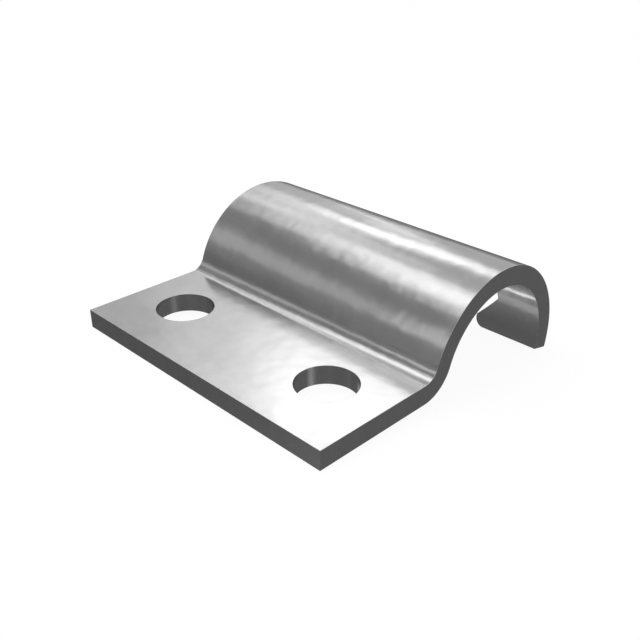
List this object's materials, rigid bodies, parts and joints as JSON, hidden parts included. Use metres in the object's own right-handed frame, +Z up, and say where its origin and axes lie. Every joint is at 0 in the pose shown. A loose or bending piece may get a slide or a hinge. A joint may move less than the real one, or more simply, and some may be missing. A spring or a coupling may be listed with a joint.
{
  "type": "half pipe clamp",
  "caption": "Half pipe clamp folded from steel sheet: flat bolting flange, half round pipe seat, and a far leg with a dovetail notch that hooks on the mating half.",
  "frame": {"origin": "on the pipe's axis, half way along the clamp, in the plane of the flange's underside", "axes": "+Y along the pipe, +Z up over the crown of the seat, the flange reaches out to -X and the notched far leg is at +X"},
  "size_m": [0.0502, 0.05, 0.0179],
  "materials": {
    "steel": "plain rolled steel sheet, satin, with square cut edges"
  },
  "bodies": {
    "root": {"half_clamp": "steel"}
  },
  "joints": []
}
